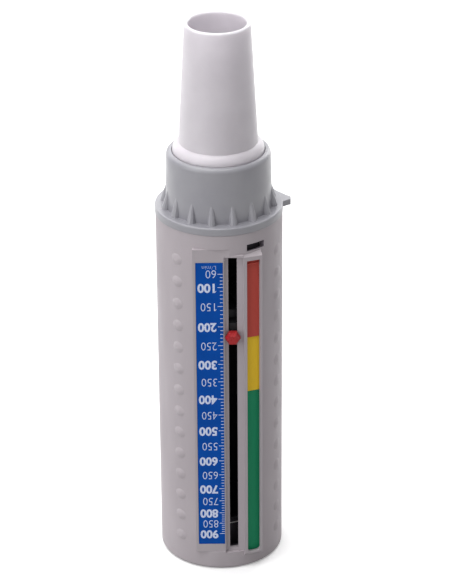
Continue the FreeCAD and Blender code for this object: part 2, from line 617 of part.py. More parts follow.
def make_base_plug():
    """A snap-in plug: floor with vents, a skirt under the measuring tube, a buffer cup and the rod boss."""
    body = new_body("base_plug")
    outer = f"({BORE} - plug_gap)"
    profile = outline(body, "PlugProfile", "XZ", [
        ("0", "0"),
        (outer, "0"),
        (outer, "bead_height - bead_half"),
        (f"{outer} + bead_reach", "bead_height"),
        (outer, "bead_height + bead_half"),
        (outer, "plug_skirt_height"),
        (f"{outer} - plug_skirt", "plug_skirt_height"),
        (f"{outer} - plug_skirt", "plug_floor"),
        ("cup_radius", "plug_floor"),
        ("cup_radius", "cup_top"),
        (CUP_INNER, "cup_top"),
        (CUP_INNER, "plug_floor"),
        ("boss_radius", "plug_floor"),
        ("boss_radius - boss_draft", "boss_top"),
        ("rod_radius + fit_gap", "boss_top"),
        ("rod_radius + fit_gap", "rod_foot - fit_gap"),
        ("0", "rod_foot - fit_gap"),
    ])
    turned(body, "PlugForm", profile)
    vent = outline(body, "VentPlan", "XY", [
        ("vent_inner", "-vent_width / 2"),
        ("vent_outer", "-vent_width / 2", "half", "left"),
        ("vent_outer", "vent_width / 2"),
        ("vent_inner", "vent_width / 2", "half", "left"),
    ], lift="plug_floor")
    cut = extruded(body, "Vent", vent, f"plug_floor + {PAST}", cut=True)
    round_pattern(body, "Vents", [cut], "vent_count")
    return body


def make_ring(name, inner, outer, thickness, chamfer, height):
    """A flat elastic ring with chamfered edges that lies level at its height."""
    body = new_body(name)
    profile = outline(body, "RingProfile", "XZ", [
        (f"{inner} + {chamfer}", "0"),
        (f"{outer} - {chamfer}", "0"),
        (outer, chamfer),
        (outer, f"{thickness} - {chamfer}"),
        (f"{outer} - {chamfer}", thickness),
        (f"{inner} + {chamfer}", thickness),
        (inner, f"{thickness} - {chamfer}"),
        (inner, chamfer),
    ])
    turned(body, "Ring", profile)
    bind(body, "Placement.Base.z", height)
    return body


def make_guide_rod():
    body = new_body("guide_rod")
    top = f"({HUB_TOP} + rod_stand)"
    groove_bottom = f"({HUB_TOP} + clip_gap)"
    groove_top = f"({groove_bottom} + clip_thickness + clip_gap)"
    profile = outline(body, "RodProfile", "XZ", [
        ("0", "rod_foot"),
        ("rod_radius - rod_chamfer", "rod_foot"),
        ("rod_radius", "rod_foot + rod_chamfer"),
        ("rod_radius", groove_bottom),
        ("rod_radius - clip_groove", groove_bottom),
        ("rod_radius - clip_groove", groove_top),
        ("rod_radius", groove_top),
        ("rod_radius", f"{top} - rod_chamfer"),
        ("rod_radius - rod_chamfer", top),
        ("0", top),
    ])
    turned(body, "Rod", profile)
    return body


def make_inlet_spider():
    """A spoked ring in the neck that holds the upper end of the rod and lets the breath through."""
    body = new_body("inlet_spider")
    outer = f"({SEAT_RADIUS} - spider_gap)"
    ring = rectangle(body, "RimProfile", "XZ", f"{outer} - spider_rim", outer, SEAT_FLOOR, NECK_TOP)
    turned(body, "Rim", ring)
    spoke = rectangle(body, "SpokePlan", "XY", f"hub_radius - {PAST}", f"{outer} - spider_rim / 2",
                      "-spoke_width / 2", "spoke_width / 2", lift=SEAT_FLOOR)
    arm = extruded(body, "Spoke", spoke, "spoke_height")
    round_pattern(body, "Spokes", [arm], "spoke_count")
    hub = rectangle(body, "HubProfile", "XZ", "rod_radius + fit_gap", "hub_radius", SEAT_FLOOR, HUB_TOP)
    turned(body, "Hub", hub)
    return body


def make_retaining_clip():
    """A sprung clip in the rod's groove, open at one side."""
    body = new_body("rod_retaining_clip")
    inner = "(rod_radius - clip_groove + clip_gap)"
    profile = rectangle(body, "ClipProfile", "XZ", inner, "clip_radius", "0", "clip_thickness")
    turned(body, "Clip", profile)
    mouth = rectangle(body, "ClipMouthPlan", "XY", "0", f"clip_radius + {PAST}", f"-clip_mouth * {inner}",
                      f"clip_mouth * {inner}", lift="clip_thickness")
    extruded(body, "ClipMouth", mouth, "clip_thickness", cut=True)
    bind(body, "Placement.Base.z", f"{HUB_TOP} + clip_gap + clip_gap / 2")
    return body


def make_sleeve(name, inner, outer, length, height):
    """A plain round sleeve that stands at its height on the rod."""
    body = new_body(name)
    profile = rectangle(body, "SleeveProfile", "XZ", inner, outer, "0", length)
    turned(body, "Sleeve", profile)
    bind(body, "Placement.Base.z", height)
    return body


def make_return_spring():
    """A tension spring round the rod, drawn at the length it has at rest, with a six-sided wire."""
    body = new_body("return_spring")
    start = f"({BUSH_TOP} + coil_end_gap + wire_radius)"
    end = f"({ANCHOR_BOTTOM} - coil_end_gap - wire_radius)"
    section = outline(body, "WireSection", "XZ", hexagon("wire_radius", "coil_radius"))
    helix = body.newObject("PartDesign::AdditiveHelix", "Coil")
    helix.Profile = section
    helix.ReferenceAxis = (section, ["V_Axis"])
    helix.Mode = "height-turns-angle"
    bind(helix, "Height", f"{end} - {start}")
    bind(helix, "Turns", "coil_turns")
    bind(body, "Placement.Base.z", start)
    return body


def make_piston():
    """A light plate with a rim, ribs and a hub. It is drawn with its underside at zero."""
    body = new_body("piston")
    hub_outer = f"({BUSH_OUTER} + piston_hub_wall)"
    profile = outline(body, "PistonProfile", "XZ", [
        (f"{BUSH_OUTER} + fit_gap", "-piston_hub_drop"),
        (hub_outer, "-piston_hub_drop"),
        (hub_outer, "0"),
        (PISTON_RADIUS, "0"),
        (PISTON_RADIUS, "piston_rim_height"),
        (f"{PISTON_RADIUS} - piston_rim", "piston_rim_height"),
        (f"{PISTON_RADIUS} - piston_rim", "piston_plate"),
        (hub_outer, "piston_plate"),
        (hub_outer, "piston_hub_top"),
        (f"{BUSH_OUTER} + fit_gap", "piston_hub_top"),
    ])
    turned(body, "PistonForm", profile)
    rib_start = f"{hub_outer} - piston_hub_wall / 2"
    rib_end = f"{PISTON_RADIUS} - piston_rim / 2"
    rib = outline(body, "RibProfile", "XZ", [
        (rib_start, "piston_plate / 2"),
        (rib_end, "piston_plate / 2"),
        (rib_end, "piston_plate + piston_rib_end"),
        (rib_start, "piston_hub_top - piston_rib_drop"),
    ])
    web = extruded(body, "PistonRib", rib, "piston_rib_width", both=True)
    round_pattern(body, "PistonRibs", [web], "piston_rib_count")
    bind(body, "Placement.Base.z", PISTON_BOTTOM)
    return body


def make_piston_bush():
    """The bearing of the piston on the rod. It is drawn from the piston's underside."""
    body = new_body("piston_bush")
    profile = outline(body, "BushProfile", "XZ", [
        ("rod_radius + bush_gap", "-piston_hub_drop"),
        (BUSH_OUTER, "-piston_hub_drop"),
        (BUSH_OUTER, "piston_hub_top"),
        (f"{BUSH_OUTER} + bush_flange", "piston_hub_top"),
        (f"{BUSH_OUTER} + bush_flange", "piston_hub_top + bush_flange_height"),
        ("rod_radius + bush_gap", "piston_hub_top + bush_flange_height"),
    ])
    turned(body, "Bush", profile)
    bind(body, "Placement.Base.z", PISTON_BOTTOM)
    return body


def hexagon(radius, centre="0"):
    """Corners of a six-sided outline with a corner at each side."""
    angles = range(0, 360, 60)
    return [(f"{centre} + ({radius}) * cos({angle})", f"({radius}) * sin({angle})") for angle in angles]


def stem_hole(body, clearance, lift, depth):
    half_width = f"(slot_width / 2 - runner_side_gap + {clearance})"
    hole = rectangle(body, "StemHoleOutline", "XZ", f"-{half_width}", half_width, f"-stem_half - {clearance}",
                     f"stem_half + {clearance}", lift=lift)
    extruded(body, "StemHole", hole, depth, cut=True, away=True)


def place_pointer(body):
    bind(body, "Placement.Base.x", "slot_centre")
    bind(body, "Placement.Base.z", "reading_height")


def make_pointer_knob():
    """The red six-sided pointer: straight sides, then facets that lead to a smaller front face."""
    body = new_body("pointer_knob")
    crown_foot = f"{KNOB_BACK} + knob_side"
    side = outline(body, "KnobOutline", "XZ", hexagon("knob_radius"), lift=KNOB_BACK)
    extruded(body, "KnobSide", side, "knob_side")
    broad = outline(body, "CrownFoot", "XZ", hexagon("knob_radius"), lift=crown_foot)
    narrow = outline(body, "CrownFace", "XZ", hexagon("knob_face_radius"), lift=f"{crown_foot} + knob_crown")
    crown = body.newObject("PartDesign::AdditiveLoft", "KnobCrown")
    crown.Profile = broad
    crown.Sections = [narrow]
    crown.Ruled = True
    stem_hole(body, "stem_gap", KNOB_BACK, "knob_socket")
    place_pointer(body)
    return body


def make_friction_pad():
    """A thin pad behind the pointer that keeps it where the piston left it."""
    body = new_body("pointer_friction_pad")
    face = outline(body, "PadOutline", "XZ", hexagon("knob_radius - pad_inset"), lift=FRICTION_BACK)
    extruded(body, "Pad", face, "friction_pad")
    stem_hole(body, "stem_gap", FRICTION_BACK, "friction_pad")
    place_pointer(body)
    return body


def make_pointer_runner():
    """The pointer's carrier: a stem in the knob, a blade in the slot and a foot inside the tube."""
    body = new_body("pointer_runner")
    half_width = "(slot_width / 2 - runner_side_gap)"
    blade_front = f"({CHANNEL_FLOOR} - stem_gap)"
    foot_side = "(slot_centre + runner_foot_width / 2 + runner_foot_gap)"
    foot_front = f"(sqrt({LINER_INNER} ^ 2 - {foot_side} ^ 2) - runner_foot_gap)"
    stem = rectangle(body, "StemOutline", "XZ", f"-{half_width}", half_width, "-stem_half", "stem_half",
                     lift=blade_front)
    extruded(body, "Stem", stem, f"{KNOB_BACK} + knob_socket - stem_gap - {blade_front}")
    blade = rectangle(body, "BladeOutline", "XZ", f"-{half_width}", half_width, "-runner_below",
                      "blade_above", lift=foot_front)
    extruded(body, "Blade", blade, f"{blade_front} - {foot_front}")
    foot = rectangle(body, "FootOutline", "XZ", "-runner_foot_width / 2", "runner_foot_width / 2",
                     "-runner_below", "runner_above", lift=f"{foot_front} - runner_foot")
    extruded(body, "Foot", foot, "runner_foot")
    place_pointer(body)
    return body


def make_collar():
    """The twist collar: flange, drafted wall with buttresses, rim round the mouthpiece and thumb tab."""
    body = new_body("collar")
    flange = "(body_radius + flange_overhang)"
    foot_wall = f"({COLLAR_OUTER} + collar_draft)"
    flange_side = f"({BASE_OF_COLLAR} + flange_height)"
    ledge_top = f"({flange_side} + flange_round)"
    ledge_foot = f"({ledge_top} - ledge_dip)"
    shell = outline(body, "CollarProfile", "XZ", [
        (COLLAR_BORE, BASE_OF_COLLAR),
        (flange, BASE_OF_COLLAR),
        (flange, flange_side, "flange_round", "left"),
        (f"{flange} - flange_round", ledge_top),
        (foot_wall, ledge_foot),
        (COLLAR_OUTER, f"{RIM_TOP} - rim_round", "rim_round", "left"),
        (f"{COLLAR_OUTER} - rim_round", RIM_TOP),
        (RIM_INNER, RIM_TOP),
        (RIM_INNER, RIM_FLOOR),
        ("spigot_radius + spigot_gap", RIM_FLOOR),
        ("spigot_radius + spigot_gap", LIP_TOP),
        ("spigot_radius + spigot_gap - lip_width", LIP_TOP),
        ("spigot_radius + spigot_gap - lip_width", LIP_BOTTOM),
        (COLLAR_BORE, LIP_BOTTOM),
    ])
    turned(body, "CollarForm", shell)
    thumb_tab(body, flange)
    buttresses(body, foot_wall, ledge_foot)
    bayonet_tracks(body)
    return body


def thumb_tab(body, flange):
    """A flat tab that leaves the flange in front, and behind runs back to it in a slant."""
    tip = "(body_radius + tab_reach)"
    root = f"({flange} - {PAST})"
    start = "(tab_start_azimuth - 90)"
    end = "(tab_end_azimuth - 90)"
    plan = outline(body, "TabPlan", "XY", [
        (f"{root} * cos{start}", f"{root} * sin{start}"),
        (f"{tip} - tab_corner", "tab_front", "tab_corner", "left"),
        (tip, "tab_front + tab_corner"),
        (tip, "tab_back - tab_corner", "tab_corner", "left"),
        (f"{tip} - tab_corner", "tab_back"),
        (f"{root} * cos{end}", f"{root} * sin{end}"),
    ], lift=f"{BASE_OF_COLLAR} + tab_lift")
    extruded(body, "ThumbTab", plan, "tab_thickness")
    pitch = "((tab_back - tab_front - 2 * tab_corner) / serration_count)"
    first = "(tab_front + tab_corner)"
    notch = outline(body, "SerrationPlan", "XY", [
        (tip, f"{first} + serration_land / 2 * {pitch}"),
        (tip, f"{first} + (1 - serration_land / 2) * {pitch}"),
        (f"{tip} - serration_depth", f"{first} + {pitch} / 2"),
    ], lift=f"{BASE_OF_COLLAR} + tab_lift + tab_thickness")
    cut = extruded(body, "Serration", notch, "tab_thickness", cut=True)
    row_pattern(body, "Serrations", [cut], "Y_Axis", f"{pitch} * (serration_count - 1)", "serration_count")


def buttresses(body, foot_wall, ledge_foot):
    """Thorn-shaped buttresses that taper from the ledge up to a tip on the wall."""
    foot = buttress_section(body, "ButtressFoot", "buttress_width", f"{foot_wall} + buttress_reach",
                            f"{ledge_foot} - buttress_sink")
    tip = buttress_section(body, "ButtressTip", "buttress_tip", f"{COLLAR_OUTER} + buttress_tip_reach",
                           "body_height + buttress_top")
    thorn = body.newObject("PartDesign::AdditiveLoft", "Buttress")
    thorn.Profile = foot
    thorn.Sections = [tip]
    thorn.Ruled = True
    round_pattern(body, "Buttresses", [thorn], "buttress_count")


def buttress_section(body, name, width, reach, height):
    """Level section of a buttress: it starts inside the wall and has a nose rounded in five flats."""
    inside = f"({COLLAR_OUTER} - collar_wall / 2)"
    corners = [(inside, f"-{width} / 2")]
    for angle in NOSE_ANGLES:
        corners.append((f"{reach} - {width} / 2 * (1 - cos({angle}))", f"{width} / 2 * sin({angle})"))
    corners.append((inside, f"{width} / 2"))
    return outline(body, name, "XY", corners, lift=height, turn="buttress_azimuth - 90")


def bayonet_tracks(body):
    """For each lug a track to turn in and a way up from below, reached once the collar is turned."""
    inner = NECK_RADIUS
    outer = f"({NECK_RADIUS} + bayonet_reach + bayonet_gap)"
    half = "(bayonet_sector / 2 + bayonet_slack)"
    first = f"(bayonet_azimuth - {half} - twist_angle)"
    track = sector(body, "TrackPlan", inner, outer, first, f"(bayonet_azimuth + {half})",
                   lift=f"{BAYONET_MIDDLE} + bayonet_half + bayonet_gap")
    turn_way = extruded(body, "Track", track, "2 * (bayonet_half + bayonet_gap)", cut=True)
    entry = sector(body, "EntryPlan", inner, outer, first, f"({first} + 2 * {half})", lift=BAYONET_MIDDLE)
    way_up = extruded(body, "Entry", entry, f"bayonet_height + {PAST}", cut=True)
    round_pattern(body, "Tracks", [turn_way, way_up], "bayonet_count")


def make_mouthpiece():
    """A tapered mouthpiece: spigot, flange, round shoulder, cone and rolled lip round a smooth bore."""
    body = new_body("mouthpiece")
    foot = f"({LIP_TOP} + mouth_flange_gap)"
    flange_bottom = f"({RIM_FLOOR} + mouth_flange_gap)"
    flange_top = f"({flange_bottom} + mouth_flange_height)"
    cone_foot = f"({flange_top} + shoulder_rise)"
    lip = f"({RIM_TOP} + mouthpiece_height)"
    profile = outline(body, "MouthpieceProfile", "XZ", [
        ("spigot_radius - spigot_wall", foot),
        ("spigot_radius", foot),
        ("spigot_radius", flange_bottom),
        (MOUTH_FLANGE, flange_bottom),
        (MOUTH_FLANGE, flange_top, "shoulder_radius", "left"),
        ("cone_foot_radius", cone_foot),
        ("cone_top_radius", lip, "half", "left"),
        ("cone_top_radius - 2 * lip_roll", lip),
        ("cone_foot_radius - cone_wall", cone_foot),
        ("spigot_radius - spigot_wall", flange_bottom),
    ])
    turned(body, "MouthpieceForm", profile)
    return body


def make_parts():
    buffer_foot = "cup_top + fit_gap"
    seal_foot = f"{SEAL_MIDDLE} - seal_thickness / 2"
    sleeve_bore = "(rod_radius + fit_gap)"
    sleeve_foot = f"{ANCHOR_BOTTOM} - sleeve_length"
    return [
        make_barrel(),
        make_measuring_tube(),
        make_scale_label(),
        make_zone_strip("zone_strip_green", 0, f"{GROOVE_BOTTOM} + strip_side_gap"),
        make_zone_strip("zone_slide_yellow", 1, "yellow_edge"),
        make_zone_strip("zone_slide_red", 2, "red_edge"),
        make_base_plug(),
        make_ring("bottom_buffer", CUP_INNER, "cup_radius", "buffer_height", "buffer_chamfer", buffer_foot),
        make_guide_rod(),
        make_inlet_spider(),
        make_retaining_clip(),
        make_sleeve("spring_anchor", sleeve_bore, "anchor_radius", "anchor_height", ANCHOR_BOTTOM),
        make_sleeve("top_buffer", sleeve_bore, f"{sleeve_bore} + sleeve_wall", "sleeve_length", sleeve_foot),
        make_return_spring(),
        make_piston(),
        make_piston_bush(),
        make_pointer_knob(),
        make_pointer_runner(),
        make_friction_pad(),
        make_collar(),
        make_ring("collar_seal", SEAL_INNER, SEAL_OUTER, "seal_thickness", "seal_chamfer", seal_foot),
        make_mouthpiece(),
    ]


def check_and_write(parts):
    """Stop on a failed feature or a bad solid, then write one file for each sub-part."""
    doc.recompute()
    failed = [item.Name for item in doc.Objects if {"Invalid", "Error"} & set(item.State)]
    if failed:
        raise RuntimeError("failed features: " + ", ".join(failed))
    for body in parts:
        if body.Shape.isNull() or not body.Shape.isValid() or not body.Shape.Solids:
            raise RuntimeError("bad solid: " + body.Label)
    os.makedirs("parts", exist_ok=True)
    for body in parts:
        body.Shape.exportStep(f"parts/{body.Label}.step")
        box = body.Shape.BoundBox
        print(f"{body.Label}: {len(body.Shape.Solids)} solid, {body.Shape.Volume:.1f} mm3, "
              f"z {box.ZMin:.2f} to {box.ZMax:.2f}")


check_and_write(make_parts())
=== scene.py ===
"""Looks of a peak flow meter: finishes, printed scale, pull ridge, return spring, soft light and camera.

Metres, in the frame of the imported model: +Z points up to the mouthpiece and the scale faces -Y.
"""
import math

import bmesh
import bpy
from mathutils import Matrix, Vector


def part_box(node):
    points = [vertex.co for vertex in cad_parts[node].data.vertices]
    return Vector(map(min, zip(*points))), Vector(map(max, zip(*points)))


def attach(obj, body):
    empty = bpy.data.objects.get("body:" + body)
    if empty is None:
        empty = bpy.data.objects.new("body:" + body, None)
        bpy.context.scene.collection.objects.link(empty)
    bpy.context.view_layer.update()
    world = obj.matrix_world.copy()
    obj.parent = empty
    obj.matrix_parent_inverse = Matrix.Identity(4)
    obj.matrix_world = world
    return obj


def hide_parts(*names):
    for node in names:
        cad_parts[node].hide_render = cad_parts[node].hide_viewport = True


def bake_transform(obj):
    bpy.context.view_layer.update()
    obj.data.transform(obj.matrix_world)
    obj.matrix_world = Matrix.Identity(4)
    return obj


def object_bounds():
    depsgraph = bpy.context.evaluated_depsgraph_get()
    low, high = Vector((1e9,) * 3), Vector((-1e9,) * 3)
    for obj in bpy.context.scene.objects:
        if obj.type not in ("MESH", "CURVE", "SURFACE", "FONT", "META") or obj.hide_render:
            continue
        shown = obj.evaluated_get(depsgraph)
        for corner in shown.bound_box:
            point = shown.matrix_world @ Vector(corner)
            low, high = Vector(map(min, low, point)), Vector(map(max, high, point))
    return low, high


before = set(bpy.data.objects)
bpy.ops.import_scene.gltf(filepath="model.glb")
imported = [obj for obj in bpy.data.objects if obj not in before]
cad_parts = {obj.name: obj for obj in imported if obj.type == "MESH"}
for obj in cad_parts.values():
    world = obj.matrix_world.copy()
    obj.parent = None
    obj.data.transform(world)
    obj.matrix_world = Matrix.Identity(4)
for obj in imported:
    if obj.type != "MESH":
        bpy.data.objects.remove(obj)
cad_low, cad_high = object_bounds()

MM = 0.001

# The camera, from a fit of the barrel, the collar and the mouthpiece to the photograph.
IMAGE_HEIGHT = 584
FOCAL_PIXELS = 2586.95
SENSOR = 36.0
LOOK_AT = Vector((2.3207, 0.0, 105.44)) * MM
CAMERA_DISTANCE = 949.3 * MM
CAMERA_ELEVATION = math.radians(26.912)
CAMERA_ROLL = math.radians(-0.441)
CAMERA_NEAR = 0.05
CAMERA_FAR = 20.0

# Where the scale's hundreds and its first tick stand above the base, in millimetres.
SCALE_MARKS = {60: 124.0, 100: 118.7, 150: 111.1, 200: 102.9, 300: 87.5, 400: 73.1, 500: 59.8, 600: 47.0,
               700: 35.0, 800: 24.5, 900: 15.4}
# The ticks and the print on the label. A width and a height are those of a whole figure, and a weight
# thickens or thins its strokes. A leading 1 is narrower and has a flag.
TICK_STEP = 10
FIGURE_STEP = 50
BOLD_STEP = 100
TICK_LONG = 1.9 * MM
TICK_SHORT = 1.05 * MM
TICK_THICKNESS = 0.22 * MM
TICK_INSET = 0.05 * MM
INK_THICKNESS = 0.02 * MM
FIGURE_START = 2.45 * MM
FIGURE_DROP = 0.28 * MM
FIGURE_ONE_LEAD = 0.5 * MM
FLAG_DROP = 0.5 * MM
FLAG_THICKNESS = 0.42 * MM
HUNDRED_HEIGHT = 3.75 * MM
HUNDRED_WIDTH = 6.7 * MM
HUNDRED_WEIGHT = 0.035
FIFTY_HEIGHT = 3.2 * MM
FIFTY_WIDTH = 5.6 * MM
FIFTY_WEIGHT = -0.012
UNIT_HEIGHT = 1.5 * MM
UNIT_WIDTH = 5.0 * MM
UNIT_WEIGHT = -0.02
UNIT_RISE = 2.55 * MM

# The light of the surroundings. Where they are seen directly they are white.
WORLD_LIGHT = 0.38
WORLD_SEEN = 1.0

# The floor lies a hair below the base. Its tone is paler where it is seen directly.
FLOOR_SIZE = 8.0
FLOOR_GAP = 0.1 * MM
FLOOR_TONE = (150, 150, 150)
FLOOR_TONE_SEEN = (246, 246, 246)

# What the floor adds of its own where it is seen, so that the paper is white and keeps the shadow. It adds
# more from the near distance to the far one, away from the lamps.
FLOOR_GLOW = 0.2
FLOOR_GLOW_FAR = 0.68
FLOOR_NEAR = 0.35
FLOOR_FAR = 1.3

# The lamps, which face the middle of the object: place, width and height in metres, and power in watts.
LAMPS = {
    "softbox_above": ((-0.25, 0.0, 1.5), (1.3, 1.3), 20.5),
    "softbox_left": ((-1.05, -0.75, 0.55), (1.0, 1.3), 7.1),
    "softbox_behind": ((0.0, 1.35, 0.95), (1.8, 0.7), 8.0),
    "softbox_behind_left": ((-0.85, 1.0, 0.5), (0.5, 1.3), 3.0),
    "softbox_behind_right": ((0.7, 1.12, 0.45), (0.5, 1.3), 6.0),
}

# The painted shade on the walls of the window above the rail, and the painted highlight of a pale line round
# the end stop: a box, a distance from the axis, and how far to either side of that distance the colour goes.
WINDOW_SHADE_MIDDLE = Vector((13.0, -18.5, 133.35)) * MM
WINDOW_SHADE_HALF = Vector((5.0, 4.0, 1.45)) * MM
WINDOW_SHADE_RADIUS = 21.0 * MM
WINDOW_SHADE_DEPTH = 1.8 * MM
STOP_HIGHLIGHT_MIDDLE = Vector((0.0, 0.0, 15.2)) * MM
STOP_HIGHLIGHT_HALF = Vector((16.0, 16.0, 0.22)) * MM
STOP_HIGHLIGHT_RADIUS = 15.0 * MM
STOP_HIGHLIGHT_DEPTH = 0.1 * MM

# The ridge on the red slide: its width, depth and height, and where it sits.
RAIL_AZIMUTH = math.radians(19)
RIDGE_SIZE = Vector((4.5, 0.8, 0.6)) * MM
RIDGE_ROUND = 0.2 * MM
RIDGE_SUNK = 0.1 * MM
RIDGE_BELOW_TOP = 2.6 * MM

# The spring: its turns, its wire and the steps of a turn.
COIL_TURNS = 13
WIRE_RADIUS = 0.2 * MM
COIL_STEPS = 28

# The middle range of a noise, which is turned into roughness.
NOISE_LOW = 0.3
NOISE_HIGH = 0.7

# The samples that round an edge, and how deep light goes into a milky plastic.
EDGE_SAMPLES = 6
MILK_DEPTH = 5 * MM


def linear(red, green, blue):
    """Linear light of a colour that is given from 0 to 255."""
    shares = [value / 255 for value in (red, green, blue)]
    return tuple(s / 12.92 if s <= 0.04045 else ((s + 0.055) / 1.055) ** 2.4 for s in shares) + (1.0,)


def add(tree, kind, **values):
    """A shader node whose settings and sockets take the values; an underscore stands for a space."""
    made = tree.nodes.new("ShaderNode" + kind)
    for name, value in values.items():
        if hasattr(made, name):
            setattr(made, name, value)
        else:
            made.inputs[name.replace("_", " ")].default_value = value
    return made


def new_material(name):
    material = bpy.data.materials.new(name)
    material.use_nodes = True
    tree = material.node_tree
    return material, tree, tree.nodes["Principled BSDF"]


def noise(tree, size, detail=3.0, stretch=(1, 1, 1)):
    """Noise with spots of about that size in metres, stretched along an axis where asked."""
    place = add(tree, "TexCoord")
    mapping = add(tree, "Mapping", Scale=tuple(1 / value for value in stretch))
    texture = add(tree, "TexNoise", Scale=1 / size, Detail=detail)
    tree.links.new(place.outputs["Object"], mapping.inputs["Vector"])
    tree.links.new(mapping.outputs["Vector"], texture.inputs["Vector"])
    return texture.outputs["Fac"]


def between(tree, factor, first, second, low=0.35, high=0.65):
    """A colour that runs from the first to the second as the factor rises from low to high."""
    ramp = add(tree, "ValToRGB")
    stops = ramp.color_ramp.elements
    stops[0].position = low
    stops[0].color = linear(*first)
    stops[1].position = high
    stops[1].color = linear(*second)
    tree.links.new(factor, ramp.inputs["Fac"])
    return ramp.outputs["Color"]


def spread(tree, factor, low, high):
    """The factor's middle range turned into numbers from low to high."""
    mapped = add(tree, "MapRange", From_Min=NOISE_LOW, From_Max=NOISE_HIGH, To_Min=low, To_Max=high)
    tree.links.new(factor, mapped.inputs["Value"])
    return mapped.outputs["Result"]


def relief(tree, shader, height, depth, edge):
    """Bump of that depth in metres over edges that are rounded by that radius."""
    rounded = add(tree, "Bevel", Radius=edge)
    rounded.samples = EDGE_SAMPLES
    bump = add(tree, "Bump", Strength=1.0, Distance=depth)
    tree.links.new(height, bump.inputs["Height"])
    tree.links.new(rounded.outputs["Normal"], bump.inputs["Normal"])
    tree.links.new(bump.outputs["Normal"], shader.inputs["Normal"])


def moulded(name, colour, shade, rough=(0.42, 0.56), grain=0.35, depth=0.004, edge=0.12, flow=(1, 1, 1),
            gloss=0.4, cloud=14.0, milky=0.0):
    """Moulded plastic: faint clouds of a second shade, uneven gloss, fine grain and rounded edges.

    A milky plastic lets part of the light through its thin walls.
    """
    material, tree, shader = new_material(name)
    clouds = noise(tree, cloud * MM, 4.0, flow)
    tree.links.new(between(tree, clouds, colour, shade), shader.inputs["Base Color"])
    tree.links.new(spread(tree, noise(tree, cloud * MM / 3, 5.0, flow), *rough), shader.inputs["Roughness"])
    relief(tree, shader, noise(tree, grain * MM, 2.0), depth * MM, edge * MM)
    shader.inputs["Specular IOR Level"].default_value = gloss
    shader.inputs["Subsurface Weight"].default_value = milky
    shader.inputs["Subsurface Radius"].default_value = (1, 1, 1)
    shader.inputs["Subsurface Scale"].default_value = MILK_DEPTH
    return material


def band(material, middle, half, radius, half_width, colour, shade):
    """Painted light: a second colour within a box, given by its middle and half size, and near a distance
    from the axis.
    """
    tree = material.node_tree
    shader = tree.nodes["Principled BSDF"]
    under = shader.inputs["Base Color"].links[0].from_socket
    place = add(tree, "TexCoord")
    level = add(tree, "VectorMath", operation="MULTIPLY")
    level.inputs[1].default_value = (1, 1, 0)
    distance = add(tree, "VectorMath", operation="LENGTH")
    split = add(tree, "SeparateXYZ")
    tree.links.new(place.outputs["Object"], level.inputs[0])
    tree.links.new(level.outputs["Vector"], distance.inputs[0])
    tree.links.new(place.outputs["Object"], split.inputs["Vector"])
    limits = [(distance.outputs["Value"], radius, half_width)] + list(zip(split.outputs, middle, half))
    mask = None
    for value, centre, reach in limits:
        inside = add(tree, "Math", operation="COMPARE")
        inside.inputs[1].default_value = centre
        inside.inputs[2].default_value = reach
        tree.links.new(value, inside.inputs[0])
        if mask is None:
            mask = inside.outputs["Value"]
            continue
        both = add(tree, "Math", operation="MULTIPLY")
        tree.links.new(mask, both.inputs[0])
        tree.links.new(inside.outputs["Value"], both.inputs[1])
        mask = both.outputs["Value"]
    painted = add(tree, "Mix", data_type="RGBA")
    tree.links.new(mask, painted.inputs["Factor"])
    tree.links.new(under, painted.inputs["A"])
    tree.links.new(between(tree, noise(tree, 2 * MM), colour, shade), painted.inputs["B"])
    tree.links.new(painted.outputs["Result"], shader.inputs["Base Color"])


def steel(name, colour, shade, along):
    """Drawn or stamped steel with fine lines that run along one axis."""
    material, tree, shader = new_material(name)
    lines = noise(tree, 0.12 * MM, 6.0, along)
    tree.links.new(between(tree, lines, colour, shade), shader.inputs["Base Color"])
    tree.links.new(spread(tree, lines, 0.18, 0.34), shader.inputs["Roughness"])
    relief(tree, shader, lines, 0.003 * MM, 0.08 * MM)
    shader.inputs["Metallic"].default_value = 1.0
    return material


def rubber(name, colour, shade):
    """Soft rubber: matte, with a dusty mottle."""
    material, tree, shader = new_material(name)
    dust = noise(tree, 2.2 * MM, 6.0)
    tree.links.new(between(tree, dust, colour, shade), shader.inputs["Base Color"])
    tree.links.new(spread(tree, dust, 0.7, 0.9), shader.inputs["Roughness"])
    relief(tree, shader, noise(tree, 0.2 * MM, 3.0), 0.01 * MM, 0.1 * MM)
    shader.inputs["Specular IOR Level"].default_value = 0.3
    return material


def felt(name, colour, shade):
    """Felt: a tangle of short fibres with a soft sheen."""
    material, tree, shader = new_material(name)
    fibres = noise(tree, 0.12 * MM, 8.0, (3, 1, 1))
    tree.links.new(between(tree, fibres, colour, shade), shader.inputs["Base Color"])
    tree.links.new(spread(tree, fibres, 0.88, 1.0), shader.inputs["Roughness"])
    relief(tree, shader, fibres, 0.05 * MM, 0.1 * MM)
    shader.inputs["Sheen Weight"].default_value = 0.4
    return material


